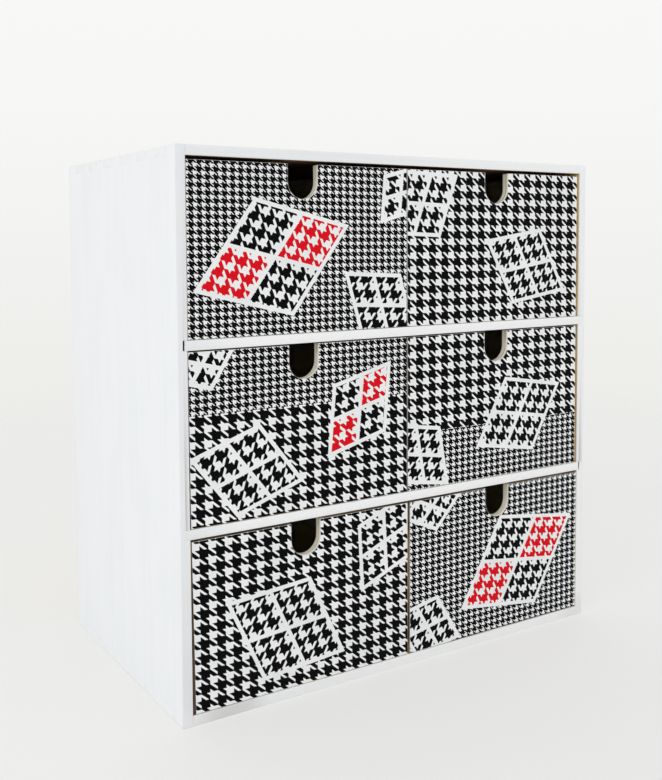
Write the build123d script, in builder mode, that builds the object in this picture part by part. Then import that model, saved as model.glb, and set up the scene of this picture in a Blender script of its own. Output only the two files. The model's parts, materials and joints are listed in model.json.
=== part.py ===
from build123d import *
import os

# Mini chest of drawers: a box-jointed plywood case with two shelves and six loose drawers.
# Millimetres, Z up. The origin is the middle of the case's footprint, on the surface that
# it stands on, and the open front faces -Y.

# Case of plywood, with box joints at its four corners
case_width = 310.0
case_depth = 180.0
case_height = 320.0
case_board = 6.0
case_finger = 15.0  # the fingers come as close to this width as an odd number of them can

# Shelves, which lie in housings cut across the inner faces of the two sides
shelf_board = 5.6
housing_depth = 2.7
housing_fit = 0.1  # by which a housing is higher than the shelf's edge
shelf_slack = 0.9  # by which a shelf is shorter than from housing floor to housing floor
shelf_names = ("upper_shelf", "lower_shelf")
shelf_drops = (0.6, 0.0)  # by which each shelf lies lower than rows of one height would put it
shelf_hands = (1, -1)  # the side on which each shelf is pushed home: 1 right, -1 left

# Back panel, laid into a rebate round the back of the case and pinned there
back_board = 3.0
rebate_width = 3.5  # how far the rebate reaches into the thickness of the boards
back_fit = 0.3  # gap round the back panel in its rebate

# Panel pins that hold the back, with their heads flush
pin_diameter = 1.2
pin_length = 12.0
pin_head_diameter = 2.2
pin_head_height = 0.6
pin_fit = 0.1  # by which a pin's hole is wider than the pin
pins_along_width = 4
pins_up_sides = 3
pin_corner_distance = 20.0

# Drawers, named as they stand when seen from the front
row_names = ("top", "middle", "bottom")
column_names = ("left", "right")
drawer_board = 5.0
drawer_finger = 14.0
gap_above = 0.85  # drawer to the board above it, in the lowest of the three openings
gap_below = 0.3  # running gap
gap_beside = 0.4  # the least gap between a drawer and what stands beside it
loose_width = 2.0  # play that is left over in each row once the least gaps are taken off
front_recess = 0.5  # front of the case to the face of a drawer
gap_behind = 0.5  # closed drawer to back panel

# Share of the loose width that lies left of the left drawer and between the two drawers,
# for each row from the top: each drawer has been pushed in a little differently
loose_shares = ((0.0, 0.1), (0.0, 0.15), (0.25, 0.75))

# Finger slot in the upper edge of each drawer front
slot_width = 20.0
slot_depth = 20.0
slot_shift = -0.7  # from the middle of the board to the middle of its slot

# Floor of a drawer, held in a groove in its four boards
floor_board = 3.0
floor_rise = 4.0  # lower edge of the drawer to the underside of its floor
groove_depth = 2.5
groove_fit = 0.2  # by which a groove is higher than the floor's edge
floor_play = 0.3  # gap at each edge of the floor in its groove

# Printed paper pasted over the whole face of each drawer
paper_thickness = 0.3

# Worked out from the sizes above
front_y = -case_depth / 2
back_y = case_depth / 2
back_seat_y = back_y - back_board
opening_width = case_width - 2 * case_board
inner_height = case_height - 2 * case_board
even_opening_height = (inner_height - len(shelf_names) * shelf_board) / len(row_names)
row_floors = [
    case_board + (len(row_names) - 1 - row) * (even_opening_height + shelf_board) - drop
    for row, drop in enumerate((*shelf_drops, 0.0))
]
row_ceilings = [case_height - case_board] + [floor - shelf_board for floor in row_floors[:-1]]
least_opening_height = min(ceiling - floor for floor, ceiling in zip(row_floors, row_ceilings))
shelf_length = opening_width + 2 * housing_depth - shelf_slack
shelf_depth = back_seat_y - front_y
least_gaps = (len(column_names) + 1) * gap_beside
drawer_width = (opening_width - least_gaps - loose_width) / len(column_names)
drawer_height = least_opening_height - gap_above - gap_below
face_y = front_y + front_recess
drawer_front_y = face_y + paper_thickness
drawer_back_y = back_seat_y - gap_behind
drawer_length = drawer_back_y - drawer_front_y
inner_width = drawer_width - 2 * drawer_board
inner_length = drawer_length - 2 * drawer_board
slot_radius = slot_width / 2

front_plane = Plane.XZ.offset(-front_y)
back_plane = Plane.XZ.offset(-back_y)


def count_fingers(length, nominal_width):
    """Return how many equal fingers an edge takes: an odd number, near the nominal width."""
    return 2 * round((length / nominal_width - 1) / 2) + 1


def finger_middles(length, count, first):
    """Return the middles of every other finger on an edge that is centred on zero."""
    return [(index + 0.5) * length / count - length / 2 for index in range(first, count, 2)]


case_fingers = count_fingers(case_depth, case_finger)
case_finger_width = case_depth / case_fingers
drawer_fingers = count_fingers(drawer_height, drawer_finger)
drawer_finger_height = drawer_height / drawer_fingers
shelf_heights = [floor - shelf_board / 2 for floor in row_floors[:-1]]

# Where the pins go: along the top and bottom boards, and up the two sides
pin_inset = case_board - rebate_width / 2
pin_x = case_width / 2 - pin_inset
pin_span = case_width - 2 * pin_corner_distance
pin_places = [
    (pin_span * (index / (pins_along_width - 1) - 0.5), height)
    for index in range(pins_along_width)
    for height in (pin_inset, case_height - pin_inset)
] + [
    (side * pin_x, case_board + inner_height * (index + 0.5) / pins_up_sides)
    for index in range(pins_up_sides)
    for side in (-1, 1)
]


def save(piece, name):
    """Name a finished piece and write it to its own file."""
    piece.part.label = name
    export_step(piece.part, f"parts/{name}.step")


def make_rebate():
    """Make the space inside the rebate that runs round the back of the case."""
    with BuildPart() as rebate:
        with BuildSketch(back_plane):
            with Locations((0, case_height / 2)):
                Rectangle(opening_width + 2 * rebate_width, case_height - 2 * (case_board - rebate_width))
        extrude(amount=back_board)
    return rebate.part


def make_pin_holes():
    """Make the space that all the pins take, heads and points, with their clearance."""
    with BuildPart() as holes:
        with BuildSketch(back_plane):
            with Locations(*pin_places):
                Circle((pin_diameter + pin_fit) / 2)
        extrude(amount=pin_length)
        with BuildSketch(back_plane):
            with Locations(*pin_places):
                Circle((pin_head_diameter + pin_fit) / 2)
        extrude(amount=pin_head_height)
    return holes.part


def make_side(name, hand, rebate, pin_holes):
    """Make a side of the case, its fingers at the corners: hand is -1 left and 1 right."""
    outer_x = hand * case_width / 2
    inner_x = hand * opening_width / 2
    notches = finger_middles(case_depth, case_fingers, 1)
    with BuildPart() as side:
        with BuildSketch(Plane.YZ.offset(inner_x)):
            with Locations((0, case_height / 2)):
                Rectangle(case_depth, case_height)
            with Locations(
                *[(y, z) for y in notches for z in (case_board / 2, case_height - case_board / 2)]
            ):
                Rectangle(case_finger_width, case_board, mode=Mode.SUBTRACT)
        extrude(amount=outer_x - inner_x)
        with BuildSketch(front_plane):
            with Locations(*[(inner_x, z + housing_fit / 2) for z in shelf_heights]):
                Rectangle(2 * housing_depth, shelf_board + housing_fit)
        extrude(amount=-shelf_depth, mode=Mode.SUBTRACT)
        add(rebate, mode=Mode.SUBTRACT)
        add(pin_holes, mode=Mode.SUBTRACT)
    save(side, name)


def make_end_board(name, middle_z, rebate, pin_holes):
    """Make the top or the bottom of the case, notched for the fingers of the sides."""
    notches = finger_middles(case_depth, case_fingers, 0)
    notch_x = (case_width - case_board) / 2
    with BuildPart() as board:
        with BuildSketch(Plane.XY.offset(middle_z - case_board / 2)):
            Rectangle(case_width, case_depth)
            with Locations(*[(x, y) for x in (-notch_x, notch_x) for y in notches]):
                Rectangle(case_board, case_finger_width, mode=Mode.SUBTRACT)
        extrude(amount=case_board)
        add(rebate, mode=Mode.SUBTRACT)
        add(pin_holes, mode=Mode.SUBTRACT)
    save(board, name)


def make_shelf(name, middle_z, hand):
    """Make a shelf that is pushed home in the housing on the side that hand gives."""
    with BuildPart() as shelf:
        with BuildSketch(front_plane):
            with Locations((hand * shelf_slack / 2, middle_z)):
                Rectangle(shelf_length, shelf_board)
        extrude(amount=-shelf_depth)
    save(shelf, name)


def make_back(pin_holes):
    """Make the thin back panel, which lies in the rebate round the back of the case."""
    with BuildPart() as back:
        with BuildSketch(back_plane):
            with Locations((0, case_height / 2)):
                Rectangle(
                    opening_width + 2 * (rebate_width - back_fit),
                    case_height - 2 * (case_board - rebate_width + back_fit),
                )
        extrude(amount=back_board)
        add(pin_holes, mode=Mode.SUBTRACT)
    save(back, "back_panel")


def make_pins():
    """Make the panel pins: a wire shank under a flat head, one solid each."""
    with BuildPart() as pins:
        with BuildSketch(back_plane):
            with Locations(*pin_places):
                Circle(pin_head_diameter / 2)
        extrude(amount=pin_head_height)
        with BuildSketch(back_plane):
            with Locations(*pin_places):
                Circle(pin_diameter / 2)
        extrude(amount=pin_length)
    save(pins, "back_panel_pins")


def make_slot_outline():
    """Make the U-shaped outline of a finger slot, hung from the middle of an upper edge."""
    with BuildSketch() as slot:
        with Locations((0, (slot_radius - slot_depth) / 2)):
            Rectangle(slot_width, slot_depth - slot_radius)
        with Locations((0, slot_radius - slot_depth)):
            Circle(slot_radius)
    return slot.sketch


def make_floor_groove(left_x, bottom_z):
    """Make the space that a drawer's floor has between and in its four boards."""
    with BuildPart() as groove:
        with BuildSketch(Plane.XY.offset(bottom_z + floor_rise)):
            with Locations((left_x + drawer_width / 2, (drawer_front_y + drawer_back_y) / 2)):
                Rectangle(inner_width + 2 * groove_depth, inner_length + 2 * groove_depth)
        extrude(amount=floor_board + groove_fit)
    return groove.part


def make_drawer_end(name, left_x, bottom_z, end_front_y, has_slot):
    """Make the front or the back board of a drawer, with or without the finger slot."""
    middle_x = left_x + drawer_width / 2
    notch_x = (drawer_width - drawer_board) / 2
    notches = finger_middles(drawer_height, drawer_fingers, 1)
    with BuildPart() as end:
        with BuildSketch(Plane.XZ.offset(-end_front_y)):
            with Locations((middle_x, bottom_z + drawer_height / 2)):
                Rectangle(drawer_width, drawer_height)
                with Locations(*[(x, z) for x in (-notch_x, notch_x) for z in notches]):
                    Rectangle(drawer_board, drawer_finger_height, mode=Mode.SUBTRACT)
            if has_slot:
                with Locations((middle_x + slot_shift, bottom_z + drawer_height)):
                    add(make_slot_outline(), mode=Mode.SUBTRACT)
        extrude(amount=-drawer_board)
        add(make_floor_groove(left_x, bottom_z), mode=Mode.SUBTRACT)
    save(end, name)


def make_drawer_side(name, left_x, bottom_z, board_x):
    """Make a side board of a drawer, whose left face is at board_x."""
    middle_y = (drawer_front_y + drawer_back_y) / 2
    notch_y = (drawer_length - drawer_board) / 2
    notches = finger_middles(drawer_height, drawer_fingers, 0)
    with BuildPart() as side:
        with BuildSketch(Plane.YZ.offset(board_x)):
            with Locations((middle_y, bottom_z + drawer_height / 2)):
                Rectangle(drawer_length, drawer_height)
                with Locations(*[(y, z) for y in (-notch_y, notch_y) for z in notches]):
                    Rectangle(drawer_board, drawer_finger_height, mode=Mode.SUBTRACT)
        extrude(amount=drawer_board)
        add(make_floor_groove(left_x, bottom_z), mode=Mode.SUBTRACT)
    save(side, name)


def make_drawer_floor(name, left_x, bottom_z):
    """Make the floor of a drawer, a thin panel that lies in the groove round its boards."""
    reach = 2 * (groove_depth - floor_play)
    with BuildPart() as floor:
        with BuildSketch(Plane.XY.offset(bottom_z + floor_rise)):
            with Locations((left_x + drawer_width / 2, (drawer_front_y + drawer_back_y) / 2)):
                Rectangle(inner_width + reach, inner_length + reach)
        extrude(amount=floor_board)
    save(floor, name)


def make_drawer_paper(name, left_x, bottom_z):
    """Make the sheet of printed paper on a drawer's face, cut out round the finger slot."""
    middle_x = left_x + drawer_width / 2
    with BuildPart() as paper:
        with BuildSketch(Plane.XZ.offset(-face_y)):
            with Locations((middle_x, bottom_z + drawer_height / 2)):
                Rectangle(drawer_width, drawer_height)
            with Locations((middle_x + slot_shift, bottom_z + drawer_height)):
                add(make_slot_outline(), mode=Mode.SUBTRACT)
        extrude(amount=-paper_thickness)
    save(paper, name)


def make_drawer(name, left_x, bottom_z):
    """Make the six pieces of a closed drawer whose lower left corner is at this place."""
    right_board_x = left_x + drawer_width - drawer_board
    make_drawer_end(f"{name}_front", left_x, bottom_z, drawer_front_y, True)
    make_drawer_end(f"{name}_back", left_x, bottom_z, drawer_back_y - drawer_board, False)
    make_drawer_side(f"{name}_left_side", left_x, bottom_z, left_x)
    make_drawer_side(f"{name}_right_side", left_x, bottom_z, right_board_x)
    make_drawer_floor(f"{name}_floor", left_x, bottom_z)
    make_drawer_paper(f"{name}_paper", left_x, bottom_z)


def make_case():
    """Make the case: sides, top, bottom, shelves, back panel and its pins."""
    rebate = make_rebate()
    pin_holes = make_pin_holes()
    make_side("left_side", -1, rebate, pin_holes)
    make_side("right_side", 1, rebate, pin_holes)
    make_end_board("top_board", case_height - case_board / 2, rebate, pin_holes)
    make_end_board("bottom_board", case_board / 2, rebate, pin_holes)
    for name, middle_z, hand in zip(shelf_names, shelf_heights, shelf_hands):
        make_shelf(name, middle_z, hand)
    make_back(pin_holes)
    make_pins()


def make_drawers():
    """Make the drawers of every row, each row set a little differently from side to side."""
    for row, row_name in enumerate(row_names):
        left_share, middle_share = loose_shares[row]
        bottom_z = row_floors[row] + gap_below
        left_x = -opening_width / 2 + gap_beside + left_share * loose_width
        for column_name in column_names:
            make_drawer(f"{row_name}_{column_name}_drawer", left_x, bottom_z)
            left_x += drawer_width + gap_beside + middle_share * loose_width


os.makedirs("parts", exist_ok=True)
make_case()
make_drawers()
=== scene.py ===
import json
import logging
import math
from dataclasses import dataclass, field
from enum import Enum
from typing import Any, NamedTuple

import bmesh
import bpy
from mathutils import Matrix, Vector, noise
from mathutils.bvhtree import BVHTree

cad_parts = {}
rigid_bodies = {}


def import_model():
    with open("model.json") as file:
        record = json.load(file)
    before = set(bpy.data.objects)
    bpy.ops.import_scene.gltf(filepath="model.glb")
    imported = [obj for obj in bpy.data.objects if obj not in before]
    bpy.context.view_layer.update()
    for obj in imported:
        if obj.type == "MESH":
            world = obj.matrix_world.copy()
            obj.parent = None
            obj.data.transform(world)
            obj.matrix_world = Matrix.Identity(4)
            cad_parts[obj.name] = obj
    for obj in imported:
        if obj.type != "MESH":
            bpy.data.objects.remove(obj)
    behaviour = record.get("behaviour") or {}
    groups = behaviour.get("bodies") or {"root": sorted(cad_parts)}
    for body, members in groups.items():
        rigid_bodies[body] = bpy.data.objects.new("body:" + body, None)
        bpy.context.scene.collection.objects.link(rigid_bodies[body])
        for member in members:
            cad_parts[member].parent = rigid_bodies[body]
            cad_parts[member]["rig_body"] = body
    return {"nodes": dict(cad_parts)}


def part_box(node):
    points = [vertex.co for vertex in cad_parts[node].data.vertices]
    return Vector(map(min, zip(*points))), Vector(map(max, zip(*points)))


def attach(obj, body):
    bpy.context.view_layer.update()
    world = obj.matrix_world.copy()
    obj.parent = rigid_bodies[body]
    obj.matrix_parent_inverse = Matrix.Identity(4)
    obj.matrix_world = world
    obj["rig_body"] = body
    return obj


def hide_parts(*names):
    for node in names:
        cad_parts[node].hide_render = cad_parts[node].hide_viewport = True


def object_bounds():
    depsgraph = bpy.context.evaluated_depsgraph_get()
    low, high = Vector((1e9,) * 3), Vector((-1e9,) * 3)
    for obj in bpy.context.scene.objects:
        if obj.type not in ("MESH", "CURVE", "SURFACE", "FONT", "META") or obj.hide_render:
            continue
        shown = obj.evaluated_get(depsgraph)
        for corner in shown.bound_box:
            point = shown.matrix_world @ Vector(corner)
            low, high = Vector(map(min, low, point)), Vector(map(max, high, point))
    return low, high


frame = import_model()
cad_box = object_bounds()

# Mini chest of drawers: a box-jointed case of white-painted birch plywood, with six loose
# drawers whose fronts are pasted over with houndstooth paper. The frame gives every board its
# place, in metres. Sizes here are in millimetres, and colours as a screen shows them, 0 to 255.

MM = 0.001

FLOAT = "NodeSocketFloat"
VECTOR = "NodeSocketVector"
COLOUR = "NodeSocketColor"

Socket = bpy.types.NodeSocket
Value = Socket | float | tuple[float, ...]

# A pair is where something starts and where it is full, or the least and the most of a value
Pair = tuple[float, float]
Triple = tuple[float, float, float]

log = logging.getLogger("mini_chest_of_drawers")


class Axis(Enum):
    """The axes of the frame, as the place of each in a vector."""

    X = 0
    Y = 1
    Z = 2


class Lie(Enum):
    """How a board lies: the axis along its grain, the one across it and the one through it."""

    UPRIGHT_SIDE = (Axis.Z, Axis.Y, Axis.X)
    LONG_SIDE = (Axis.Y, Axis.Z, Axis.X)
    WIDE_FRONT = (Axis.X, Axis.Z, Axis.Y)
    UPRIGHT_PANEL = (Axis.Z, Axis.X, Axis.Y)
    LEVEL = (Axis.X, Axis.Y, Axis.Z)
    LEVEL_DEEP = (Axis.Y, Axis.X, Axis.Z)

    def turn(self, place: Vector) -> Vector:
        """Give a place in the frame as along, across and through the board."""
        return Vector([place[axis.value] for axis in self.value])


class Mark(Enum):
    """The attributes that a board carries for its finish, with lengths in millimetres."""

    PLACE = "board_place"
    HALF = "board_half"
    NUMBER = "board_number"
    PLIES = "board_plies"


class Shade(NamedTuple):
    """A colour as a screen shows it, each part from 0 to 255."""

    red: float
    green: float
    blue: float

    def light(self) -> tuple[float, float, float, float]:
        """Turn the colour into the values that a shader takes.

        Returns:
            The colour in linear light, with an alpha of 1.
        """
        parts = [part / 255 for part in self]
        linear = [part / 12.92 if part <= 0.04045 else ((part + 0.055) / 1.055) ** 2.4 for part in parts]
        return (*linear, 1.0)


@dataclass(frozen=True)
class Layer:
    """A layer of soft noise.

    Attributes:
        size: length of its patches along each axis, in the unit of the place where it is read.
        detail: how many finer layers it holds.
        edge: levels of the noise between which a patch rises from nothing to full.
        share: how strongly it shows.
    """

    size: Triple
    detail: float = 2.0
    edge: Pair = (0.3, 0.7)
    share: float = 1.0


class Sketch:
    """A node tree while it is drawn up: each method adds a node and gives what comes out of it."""

    def __init__(self, tree: bpy.types.NodeTree) -> None:
        """Start on an empty tree."""
        tree.nodes.clear()
        self.tree = tree

    def fill(self, socket: Socket, value: Value) -> None:
        """Fill an input.

        Args:
            socket: the input.
            value: a number, a vector, a colour or another node's socket.
        """
        if isinstance(value, Socket):
            self.tree.links.new(value, socket)
        else:
            socket.default_value = value.light() if isinstance(value, Shade) else value

    def add(
        self, kind: str, values: dict[int | str, Value] | None = None, **settings: Any
    ) -> bpy.types.Node:
        """Add a node, set it up and fill its inputs.

        Args:
            kind: the node's type.
            values: what goes into its inputs, by name or place.
            settings: the node's own settings.

        Returns:
            The new node.
        """
        node = self.tree.nodes.new(kind)
        for name, setting in settings.items():
            setattr(node, name, setting)
        for key, value in (values or {}).items():
            self.fill(node.inputs[key], value)
        return node

    def use(self, group: bpy.types.NodeTree, values: dict[str, Value] | None = None) -> Any:
        """Add a node group and give its outputs."""
        return self.add("ShaderNodeGroup", values, node_tree=group).outputs

    def give(self, result: bpy.types.Node, values: dict[str, Socket]) -> bpy.types.NodeTree:
        """Fill the outputs of the group that is drawn up.

        Args:
            result: the group's output node.
            values: what it gives, by name.

        Returns:
            The finished group.
        """
        for label, value in values.items():
            self.fill(result.inputs[label], value)
        return self.tree

    def shade(self, values: dict[str, Value]) -> None:
        """End the material in one principled shader with these inputs."""
        shader = self.add("ShaderNodeBsdfPrincipled", values)
        self.add("ShaderNodeOutputMaterial", {"Surface": shader.outputs[0]})

    def math(self, operation: str, *values: Value) -> Socket:
        """Work out one number from others."""
        return self.add("ShaderNodeMath", dict(enumerate(values)), operation=operation).outputs[0]

    def fold(self, operation: str, values: tuple[Value, ...]) -> Socket:
        """Work out one number from several, by one operation on each in turn.

        Args:
            operation: the operation.
            values: the numbers, two or more.

        Returns:
            The last result.
        """
        result, *others = values
        for other in others:
            result = self.math(operation, result, other)
        return result

    def product(self, *values: Value) -> Socket:
        """Multiply numbers."""
        return self.fold("MULTIPLY", values)

    def least(self, *values: Value) -> Socket:
        """Give the least of some numbers."""
        return self.fold("MINIMUM", values)

    def most(self, *values: Value) -> Socket:
        """Give the greatest of some numbers."""
        return self.fold("MAXIMUM", values)

    def minus(self, value: Value, taken: Value) -> Socket:
        """Take a number from another."""
        return self.math("SUBTRACT", value, taken)

    def plus_share(self, base: Value, value: Value, share: Value) -> Socket:
        """Add a share of a number to another."""
        return self.math("MULTIPLY_ADD", value, share, base)

    def size(self, value: Value) -> Socket:
        """Give a number without its sign."""
        return self.math("ABSOLUTE", value)

    def under(self, value: Value, limit: Value) -> Socket:
        """Give 1 where a number is under a limit, else 0."""
        return self.math("LESS_THAN", value, limit)

    def over(self, value: Value, limit: Value) -> Socket:
        """Give 1 where a number is over a limit, else 0."""
        return self.math("GREATER_THAN", value, limit)

    def vector(self, operation: str, *values: Value) -> Socket:
        """Work out a vector, or its length, from others."""
        node = self.add("ShaderNodeVectorMath", dict(enumerate(values)), operation=operation)
        return node.outputs["Value" if operation == "LENGTH" else "Vector"]

    def split(self, vector: Socket) -> tuple[Socket, Socket, Socket]:
        """Take a vector apart."""
        return tuple(self.add("ShaderNodeSeparateXYZ", {0: vector}).outputs)

    def join(self, x: Value, y: Value, z: Value) -> Socket:
        """Put a vector together."""
        return self.add("ShaderNodeCombineXYZ", {0: x, 1: y, 2: z}).outputs[0]

    def mix(self, share: Value, first: Value, second: Value) -> Socket:
        """Go from the first number to the second by a share."""
        return self.add("ShaderNodeMix", {0: share, 2: first, 3: second}).outputs[0]

    def blend(self, share: Value, first: Value, second: Value, kind: str = "MIX") -> Socket:
        """Go from the first colour by a share to the second, or to both multiplied."""
        node = self.add("ShaderNodeMix", {0: share, 6: first, 7: second}, data_type="RGBA", blend_type=kind)
        return node.outputs[2]

    def rise(self, value: Value, low: float, high: float) -> Socket:
        """Rise smoothly from 0 where the value is low to 1 where it is high."""
        limits = {"Value": value, "From Min": low, "From Max": high}
        return self.add("ShaderNodeMapRange", limits, interpolation_type="SMOOTHSTEP").outputs[0]

    def cloud(self, place: Value, layer: Layer) -> Socket:
        """Make a layer of noise, a number from 0 to 1 that is mostly near the middle."""
        values = {"Vector": self.vector("DIVIDE", place, layer.size), "Scale": 1.0, "Detail": layer.detail}
        return self.add("ShaderNodeTexNoise", values).outputs[0]

    def patches(self, place: Value, layer: Layer) -> Socket:
        """Make the patches of a layer of noise, 1 on them and 0 between them."""
        return self.rise(self.cloud(place, layer), *layer.edge)

    def mark(self, mark: Mark) -> Socket:
        """Read one of the marks that a board carries."""
        node = self.add("ShaderNodeAttribute", attribute_name=mark.value)
        return node.outputs["Vector" if mark in (Mark.PLACE, Mark.HALF) else "Fac"]

    def own_place(self, shift: Triple) -> Socket:
        """Read the place on the board, moved by its number of shifts, so that no two boards match."""
        return self.vector("MULTIPLY_ADD", self.mark(Mark.NUMBER), shift, self.mark(Mark.PLACE))

    def object_place(self) -> Socket:
        """Read the place in the frame, in millimetres."""
        place = self.add("ShaderNodeTexCoord").outputs["Object"]
        return self.vector("MULTIPLY", place, (1 / MM,) * 3)

    def bump(self, height: Socket, depth: float) -> Socket:
        """Make a normal from a height of 0 to 1 that stands for a depth in millimetres."""
        return self.add("ShaderNodeBump", {"Height": height, "Distance": depth * MM}).outputs[0]

    def seen_directly(self) -> Socket:
        """Give 1 for rays from the eye and mirrored or bent ones, 0 for those that light things."""
        ray = self.add("ShaderNodeLightPath").outputs
        return self.most(*(ray[kind] for kind in ("Is Camera Ray", "Is Glossy Ray", "Is Transmission Ray")))


def new_group(
    name: str, given: dict[str, str], made: dict[str, str], kind: str = "ShaderNodeTree"
) -> tuple[Sketch, dict[str, Socket], bpy.types.Node]:
    """Start a node group with named inputs and outputs.

    Args:
        name: the group's name.
        given: the type of each input, by name.
        made: the type of each output, by name.
        kind: the type of its tree.

    Returns:
        The sketch of the group, the sockets that its inputs give, and its output node.
    """
    tree = bpy.data.node_groups.new(name, kind)
    for direction, sockets in (("INPUT", given), ("OUTPUT", made)):
        for label, socket_type in sockets.items():
            tree.interface.new_socket(label, in_out=direction, socket_type=socket_type)
    sketch = Sketch(tree)
    entry = sketch.add("NodeGroupInput")
    return sketch, {label: entry.outputs[label] for label in given}, sketch.add("NodeGroupOutput")


def new_material(name: str) -> tuple[Sketch, bpy.types.Material]:
    """Start a material.

    Args:
        name: the material's name.

    Returns:
        The sketch of its tree, and the material.
    """
    material = bpy.data.materials.new(name)
    material.use_nodes = True
    return Sketch(material.node_tree), material


@dataclass(frozen=True)
class BirchPlywood:
    """Bare sanded birch plywood: streaked veneer on its faces and layered plies on its edges."""

    pale: Shade = Shade(240, 230, 204)
    dark: Shade = Shade(218, 196, 156)
    roughness: Pair = (0.52, 0.7)
    grain_depth: float = 0.05
    board_shift: Triple = (137.0, 71.0, 53.0)

    # Veneer on the faces
    figure: Layer = Layer((260.0, 34.0, 34.0), 1.5, (0.35, 1.0), 0.36)
    figure_rings: float = 22.0
    streaks: Layer = Layer((52.0, 0.8, 0.8), 4.0, (0.3, 0.72), 0.42)
    tones: Layer = Layer((150.0, 36.0, 36.0), share=0.3)
    fleck: Shade = Shade(180, 146, 102)
    flecks: Layer = Layer((5.0, 0.35, 0.35), 1.0, (0.66, 0.76), 0.5)
    fleck_pit: float = 0.6

    # Plies on the edges, with glue between
    edge_start: Pair = (0.04, 0.12)
    ply_wander: Layer = Layer((22.0, 22.0, 400.0), share=0.3)
    end_grain: Shade = Shade(214, 200, 158)
    end_pores: Layer = Layer((0.7, 0.7, 0.25), edge=(0.35, 0.7))
    end_pit: float = 0.5
    glue: Shade = Shade(120, 92, 56)
    glue_line: Pair = (0.1, 0.03)
    glue_share: float = 0.75

    # Painted shade in the gaps round the papers, and paste round the papers
    gap_shade: Shade = Shade(112, 92, 56)
    gap_shade_pale: Shade = Shade(196, 172, 124)
    gap_shade_tones: Layer = Layer((42.0, 42.0, 42.0), edge=(0.46, 0.6))
    gap_shade_depth: Pair = (3.2, 1.28)
    gap_shade_spots: Layer = Layer((9.0, 9.0, 9.0), 3.0, (0.3, 0.6))
    gap_shade_strength: Pair = (0.6, 1.0)
    paste: Shade = Shade(66, 50, 42)
    paste_depth: float = 0.35

    # Edges of the finger slots: pale sanded wood, whitened further as painted light, with the glue line that
    # shows on them
    slot_reach: float = 12.0
    slot_depth: Pair = (6.4, 5.12)
    slot_painted_light: Shade = Shade(255, 251, 236)
    slot_light_strength: Pair = (0.96, 0.8)
    slot_line: Shade = Shade(160, 148, 92)
    line_width: Pair = (0.75, 0.35)
    line_spots: Layer = Layer((14.0, 14.0, 14.0), edge=(0.35, 0.6))
    line_strength: Pair = (0.15, 0.7)

    def surface(self, paper_back: float) -> bpy.types.NodeTree:
        """Make the node group of the wood's surface, which paint can go over.

        Args:
            paper_back: where the back of the drawers' papers is along Y, in millimetres.

        Returns:
            A group that gives the wood's colour, roughness and height, where its edges and glue lines are,
            how much painted shade darkens it in the gaps round the papers, and how much paste lies on it.
        """
        outputs = {"Colour": COLOUR} | dict.fromkeys(
            ("Roughness", "Height", "Glue lines", "Edges", "Gap shade", "Paste"), FLOAT
        )
        sketch, _, result = new_group("birch_plywood_surface", {}, outputs)
        parts = sketch.split(sketch.mark(Mark.PLACE))
        along, across, through = (sketch.size(part) for part in parts)
        half_along, half_across, half_through = sketch.split(sketch.mark(Mark.HALF))
        own = sketch.own_place(self.board_shift)

        # Faces: growth rings cut nearly flat, fine fibres and short dark flecks, all along the grain
        streaks = sketch.cloud(own, self.streaks)
        flecks = sketch.patches(own, self.flecks)
        figure = sketch.product(sketch.cloud(own, self.figure), self.figure_rings)
        rings = sketch.math("PINGPONG", figure, 1.0)
        tone = sketch.product(sketch.rise(rings, *self.figure.edge), self.figure.share)
        tone = sketch.plus_share(tone, sketch.rise(streaks, *self.streaks.edge), self.streaks.share)
        tone = sketch.plus_share(tone, sketch.patches(own, self.tones), self.tones.share)
        veneer = sketch.blend(tone, self.pale, self.dark)
        face = sketch.blend(sketch.product(flecks, self.flecks.share), veneer, self.fleck)

        # Edges: plies whose grain runs along the board and across it by turns, with glue between
        plies = sketch.mark(Mark.PLIES)
        share = sketch.math("DIVIDE", sketch.math("ADD", parts[2], half_through), half_through)
        wander = sketch.minus(sketch.cloud(own, self.ply_wander), 0.5)
        level = sketch.plus_share(sketch.product(share, plies, 0.5), wander, self.ply_wander.share)
        odd = sketch.math("FLOORED_MODULO", sketch.math("FLOOR", level), 2.0)
        end_face = sketch.under(sketch.minus(half_along, along), sketch.minus(half_across, across))
        crossed = sketch.size(sketch.minus(odd, end_face))
        end_tone = sketch.blend(sketch.patches(own, self.end_pores), self.end_grain, self.dark)
        on_edge = sketch.rise(sketch.minus(half_through, through), *self.edge_start)
        to_border = sketch.math("PINGPONG", level, 0.5)
        glue = sketch.product(on_edge, sketch.rise(to_border, *self.glue_line))
        colour = sketch.blend(on_edge, face, sketch.blend(crossed, veneer, end_tone))
        colour = sketch.blend(sketch.product(glue, self.glue_share), colour, self.glue)

        # Painted shade darkens the edges of the drawers' fronts round the paper, where the gaps are. Those
        # of the slot are sanded pale and whitened further as painted light, and show only a glue line
        behind_paper = sketch.minus(sketch.split(sketch.object_place())[1], paper_back)
        in_slot = sketch.under(along, self.slot_reach)
        off_slot = sketch.minus(1.0, in_slot)
        strength = sketch.mix(sketch.patches(own, self.gap_shade_spots), *self.gap_shade_strength)
        gap_shaded = sketch.product(sketch.rise(behind_paper, *self.gap_shade_depth), off_slot, strength)
        pasted = sketch.product(sketch.under(behind_paper, self.paste_depth), off_slot)
        slot_edge = sketch.product(in_slot, sketch.rise(behind_paper, *self.slot_depth), on_edge)
        # Painted light: the slot's edges are whitened past the wood's own colour
        slot_lit = sketch.product(slot_edge, sketch.mix(crossed, *self.slot_light_strength))
        colour = sketch.blend(slot_lit, colour, self.slot_painted_light)
        first_ply = sketch.math("DIVIDE", sketch.product(half_through, 2.0), plies)
        line = sketch.rise(sketch.size(sketch.minus(behind_paper, first_ply)), *self.line_width)
        strength = sketch.mix(sketch.patches(own, self.line_spots), *self.line_strength)
        colour = sketch.blend(sketch.product(line, slot_edge, strength), colour, self.slot_line)

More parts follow.
